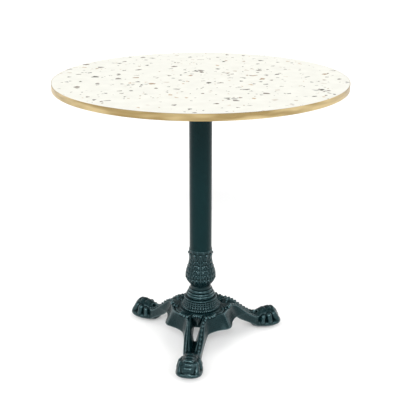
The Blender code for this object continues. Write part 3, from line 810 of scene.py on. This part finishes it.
def terrazzo_material():
    """Cream binder with sparse angular stone chips in three sizes."""
    m = Nodes("terrazzo")
    flat = m.add("ShaderNodeVectorMath", {0: m.place(), 1: (1.0, 1.0, 0.0)},
                 operation="MULTIPLY").outputs[0]
    warp = m.add("ShaderNodeTexNoise", {"Scale": 60.0, "Detail": 2.0, "Vector": flat})
    shift = m.add("ShaderNodeVectorMath", {0: warp.outputs["Color"], 1: (0.5, 0.5, 0.5)},
                  operation="SUBTRACT")
    bend = m.add("ShaderNodeVectorMath", {0: shift.outputs[0], "Scale": 0.006}, operation="SCALE")
    spot = m.add("ShaderNodeVectorMath", {0: flat, 1: bend.outputs[0]}, operation="ADD").outputs[0]
    binder = [(0.3, (0.725, 0.72, 0.66)), (0.7, (0.775, 0.77, 0.71))]
    color = m.ramp(m.noise(26.0, 5.0, flat), binder)
    chips = None
    for scale, share, edge, offset in CHIP_SIZES:
        moved = m.add("ShaderNodeVectorMath", {0: spot, 1: (offset, offset * 0.7, 0.0)}, operation="ADD")
        cell = m.add("ShaderNodeTexVoronoi", {"Vector": moved.outputs[0], "Scale": scale},
                     feature="F1", voronoi_dimensions="2D")
        rim = m.add("ShaderNodeTexVoronoi", {"Vector": moved.outputs[0], "Scale": scale},
                    feature="DISTANCE_TO_EDGE", voronoi_dimensions="2D")
        pick = m.add("ShaderNodeSeparateColor", {"Color": cell.outputs["Color"]})
        chosen = m.math("LESS_THAN", pick.outputs[0], share)
        core = m.add("ShaderNodeMapRange", {"Value": rim.outputs["Distance"], "From Min": edge,
                                            "From Max": edge + 0.03}).outputs[0]
        mask = m.math("MULTIPLY", chosen, core)
        stone = m.ramp(pick.outputs[1], CHIP_COLORS, "CONSTANT")
        color = m.mix(mask, color, stone)
        chips = mask if chips is None else m.math("MAXIMUM", chips, mask)
    m.set(Base_Color=color, Specular_IOR_Level=0.06)
    m.set(Roughness=m.math("SUBTRACT", 0.80, m.math("MULTIPLY", chips, 0.12)))
    m.bump(m.noise(700.0, 2.0, flat), 0.10, 0.0001)
    return m.material


def board_material():
    m = Nodes("fibreboard")
    fibre = m.noise(300.0, 6.0, m.place())
    m.set(Base_Color=m.ramp(fibre, [(0.3, (0.30, 0.20, 0.11)), (0.7, (0.50, 0.36, 0.22))]))
    m.set(Roughness=0.85)
    m.bump(fibre, 0.3, 0.0004)
    return m.material


def backing_material():
    m = Nodes("backing_sheet")
    mottle = m.noise(90.0, 4.0, m.place())
    m.set(Base_Color=m.ramp(mottle, [(0.3, (0.62, 0.61, 0.57)), (0.7, (0.70, 0.69, 0.65))]))
    m.set(Roughness=0.6)
    m.bump(m.noise(900.0, 2.0, m.place()), 0.15, 0.0001)
    return m.material


def steel_material():
    m = Nodes("zinc_steel")
    grain = m.noise(600.0, 4.0, m.place())
    m.set(Base_Color=m.ramp(grain, [(0.3, (0.50, 0.51, 0.50)), (0.7, (0.68, 0.69, 0.67))]))
    m.set(Metallic=1.0)
    m.set(Roughness=m.ramp(grain, [(0.3, grey(0.28)), (0.7, grey(0.45))]))
    m.bump(grain, 0.2, 0.0001)
    return m.material


def plastic_material():
    m = Nodes("black_plastic")
    grain = m.noise(800.0, 3.0, m.place())
    m.set(Base_Color=m.ramp(grain, [(0.3, grey(0.018)), (0.7, grey(0.032))]), Roughness=0.55)
    m.bump(grain, 0.3, 0.0002)
    return m.material


def dress(obj, material):
    obj.data.materials.clear()
    obj.data.materials.append(material)


def recolor_node(name, material):
    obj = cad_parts[name]
    for slot in obj.material_slots:
        slot.material = material


# =====================================================================
# put it together
# =====================================================================
# The castings' paint carries painted shade in its hollows and painted highlights on its raised edges.
iron = paint_material("painted_iron", (0.0020, 0.0125, 0.0150),
                      bump_size=0.00045, shine=0.50, edge_and_hollow_shading=True)
# The tube's paint is a darker, less shiny copy of the castings' paint. This is painted shade for the
# column.
shaded_tube_paint = paint_material("painted_tube", (0.0010, 0.0115, 0.0130),
                            bump_size=0.00012, shine=0.15, edge_and_hollow_shading=False)
steel = steel_material()
dress(build_vase(), iron)
dress(build_hub(), iron)
for third in build_base():
    dress(third, iron)
dress(build_tube(), shaded_tube_paint)
dress(build_band(), brass_material())
dress(build_sheet(), terrazzo_material())
recolor_node("top_core", board_material())
recolor_node("backing_laminate", backing_material())
recolor_node("top_spider", iron)
plastic = plastic_material()
for node_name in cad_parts:
    if node_name.startswith(("mounting_screw", "upper_", "lower_", "tie_rod", "glide_stud")):
        recolor_node(node_name, steel)
    if node_name.startswith("glide_pad"):
        recolor_node(node_name, plastic)


# =====================================================================
# studio
# =====================================================================
SENSOR_MM = 36.0
LENS_MM = 75.64
CAMERA_PLACE = (-0.0016, -2.1109, 1.1689)
CAMERA_TILT = 70.27  # degrees up from straight down
# azimuth from the front, elevation, strength, spread
KEY_SUN = (-2.0, 30.0, 2.1, 23.0)
SIDE_SUN = (42.0, 32.0, 1.1, 30.0)
BACK_SUN = (118.0, 26.0, 0.9, 40.0)
FLOOR_HALF = 120.0
FLOOR_TONE = 0.95
# the sky is bright at the horizon and darker overhead
SKY_FADE = (("From Min", 0.05), ("From Max", 0.40), ("To Min", 0.94), ("To Max", 0.32))


def build_camera():
    bpy.context.scene.view_settings.view_transform = "Standard"
    data = bpy.data.cameras.new("camera")
    data.sensor_width = SENSOR_MM
    data.lens = LENS_MM
    camera = bpy.data.objects.new("camera", data)
    camera.location = CAMERA_PLACE
    camera.rotation_euler = Euler((math.radians(CAMERA_TILT), 0.0, 0.0))
    bpy.context.scene.collection.objects.link(camera)
    bpy.context.scene.camera = camera


def sun(azimuth, elevation, strength, spread):
    """A soft distant light; azimuth 0 comes from the front, elevation is above the horizon."""
    data = bpy.data.lights.new("sun", "SUN")
    data.energy = strength
    data.angle = math.radians(spread)
    lamp = bpy.data.objects.new("sun", data)
    lamp.rotation_euler = Euler((math.radians(90.0 - elevation), 0.0, math.radians(azimuth)))
    bpy.context.scene.collection.objects.link(lamp)


def build_studio():
    mesh = bpy.data.meshes.new("studio_floor")
    corners = [(x * FLOOR_HALF, y * FLOOR_HALF, 0.0) for x, y in ((-1, -1), (1, -1), (1, 1), (-1, 1))]
    mesh.from_pydata(corners, [], [(0, 1, 2, 3)])
    floor = bpy.data.objects.new("studio_floor", mesh)
    bpy.context.scene.collection.objects.link(floor)
    pale = bpy.data.materials.new("studio_floor")
    pale.use_nodes = True
    shader = pale.node_tree.nodes["Principled BSDF"]
    shader.inputs["Base Color"].default_value = grey(FLOOR_TONE)
    shader.inputs["Roughness"].default_value = 0.9
    mesh.materials.append(pale)
    world = bpy.data.worlds.new("studio")
    bpy.context.scene.world = world
    world.use_nodes = True
    sky = world.node_tree
    sky.nodes["Background"].inputs["Color"].default_value = (1.0, 1.0, 1.0, 1.0)
    where = sky.nodes.new("ShaderNodeSeparateXYZ")
    fade = sky.nodes.new("ShaderNodeMapRange")
    fade.interpolation_type = "SMOOTHSTEP"
    for socket, value in SKY_FADE:
        fade.inputs[socket].default_value = value
    sky.links.new(sky.nodes.new("ShaderNodeTexCoord").outputs["Generated"], where.inputs[0])
    sky.links.new(where.outputs["Z"], fade.inputs["Value"])
    sky.links.new(fade.outputs["Result"], sky.nodes["Background"].inputs["Strength"])
    sun(*KEY_SUN)
    for side in (-1.0, 1.0):
        for azimuth, *rest in (SIDE_SUN, BACK_SUN):
            sun(azimuth * side, *rest)


build_camera()
build_studio()
